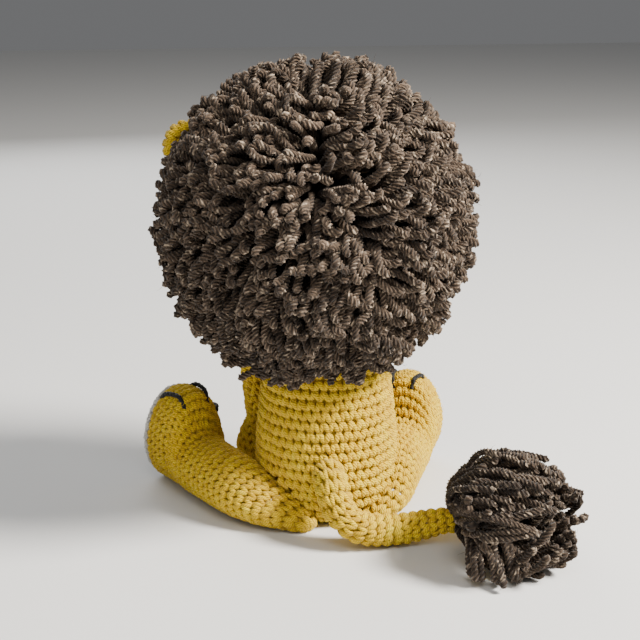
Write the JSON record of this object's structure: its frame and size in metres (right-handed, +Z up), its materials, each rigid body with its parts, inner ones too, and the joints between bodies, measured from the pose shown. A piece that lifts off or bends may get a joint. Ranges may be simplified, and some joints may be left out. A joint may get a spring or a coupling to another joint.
{
  "type": "stuffed lion toy",
  "caption": "Crocheted soft toy lion, seated, with a thick mane of loose yarn strands and a long tail ending in a yarn tuft.",
  "frame": {"origin": "on the surface the toy sits on, at the middle of the body's flat seat", "axes": "+Z up, the lion faces -Y, +X towards the lion's left side"},
  "size_m": [0.1632, 0.1488, 0.1924],
  "materials": {
    "yellow_yarn": "crocheted matt yarn",
    "brown_yarn": "plied heather yarn strands",
    "cream_yarn": "crocheted matt yarn",
    "black_thread": "satin embroidery thread",
    "fibre_filling": "loose polyester fibre",
    "eye_plastic": "glossy",
    "washer_plastic": "matt"
  },
  "bodies": {
    "torso": {"body_shell": "yellow_yarn", "body_stuffing": "fibre_filling", "neck_thread": "yellow_yarn", "left_shoulder_thread": "yellow_yarn", "right_shoulder_thread": "yellow_yarn", "left_hip_thread": "yellow_yarn", "right_hip_thread": "yellow_yarn", "tail_thread": "yellow_yarn"},
    "head": {"head_shell": "yellow_yarn", "head_stuffing": "fibre_filling", "muzzle_shell": "cream_yarn", "muzzle_stuffing": "fibre_filling", "nose_embroidery": "black_thread", "mouth_embroidery": "black_thread", "left_eye": "eye_plastic", "right_eye": "eye_plastic", "left_eye_washer": "washer_plastic", "right_eye_washer": "washer_plastic", "left_ear": "yellow_yarn", "right_ear": "yellow_yarn", "mane_crown": "brown_yarn", "mane_left_upper": "brown_yarn", "mane_left_lower": "brown_yarn", "mane_nape": "brown_yarn", "mane_right_lower": "brown_yarn", "mane_right_upper": "brown_yarn", "mane_back": "brown_yarn"},
    "left_arm": {"left_arm_shell": "yellow_yarn", "left_arm_stuffing": "fibre_filling"},
    "right_arm": {"right_arm_shell": "yellow_yarn", "right_arm_stuffing": "fibre_filling"},
    "left_leg": {"left_leg_shell": "yellow_yarn", "left_leg_stuffing": "fibre_filling", "left_foot_sole": "cream_yarn", "left_claws": "black_thread"},
    "right_leg": {"right_leg_shell": "yellow_yarn", "right_leg_stuffing": "fibre_filling", "right_foot_sole": "cream_yarn", "right_claws": "black_thread"},
    "tail": {"tail_shell": "yellow_yarn", "tail_stuffing": "fibre_filling", "tail_tip_loop": "brown_yarn"},
    "tuft": {"tail_tuft": "brown_yarn"}
  },
  "joints": [
    {"name": "head_turn", "type": "hinge", "parent": "torso", "child": "head", "pos_m": [0.002, 0, 0.083], "axis": [0, 0, 1], "range_deg": [-25, 25]},
    {"name": "left_arm_swing", "type": "hinge", "parent": "torso", "child": "left_arm", "pos_m": [0.0275, -0.013, 0.074], "axis": [-1, 0, 0], "range_deg": [0, 30]},
    {"name": "right_arm_swing", "type": "hinge", "parent": "torso", "child": "right_arm", "pos_m": [-0.0275, -0.013, 0.074], "axis": [-1, 0, 0], "range_deg": [0, 30]},
    {"name": "left_leg_spread", "type": "hinge", "parent": "torso", "child": "left_leg", "pos_m": [0.0185, 0.0155, 0.02], "axis": [0, 0, 1], "range_deg": [0, 6]},
    {"name": "right_leg_spread", "type": "hinge", "parent": "torso", "child": "right_leg", "pos_m": [-0.0155, 0.0175, 0.02], "axis": [0, 0, -1], "range_deg": [0, 6]},
    {"name": "tail_lift", "type": "hinge", "parent": "torso", "child": "tail", "pos_m": [0.006, 0.0307, 0.0265], "axis": [0, 1, 0], "range_deg": [0, 40]},
    {"name": "tuft_swing", "type": "hinge", "parent": "tail", "child": "tuft", "pos_m": [-0.0382, 0.0495, 0.0094], "axis": [0, 0, 1], "range_deg": [-20, 20]}
  ]
}
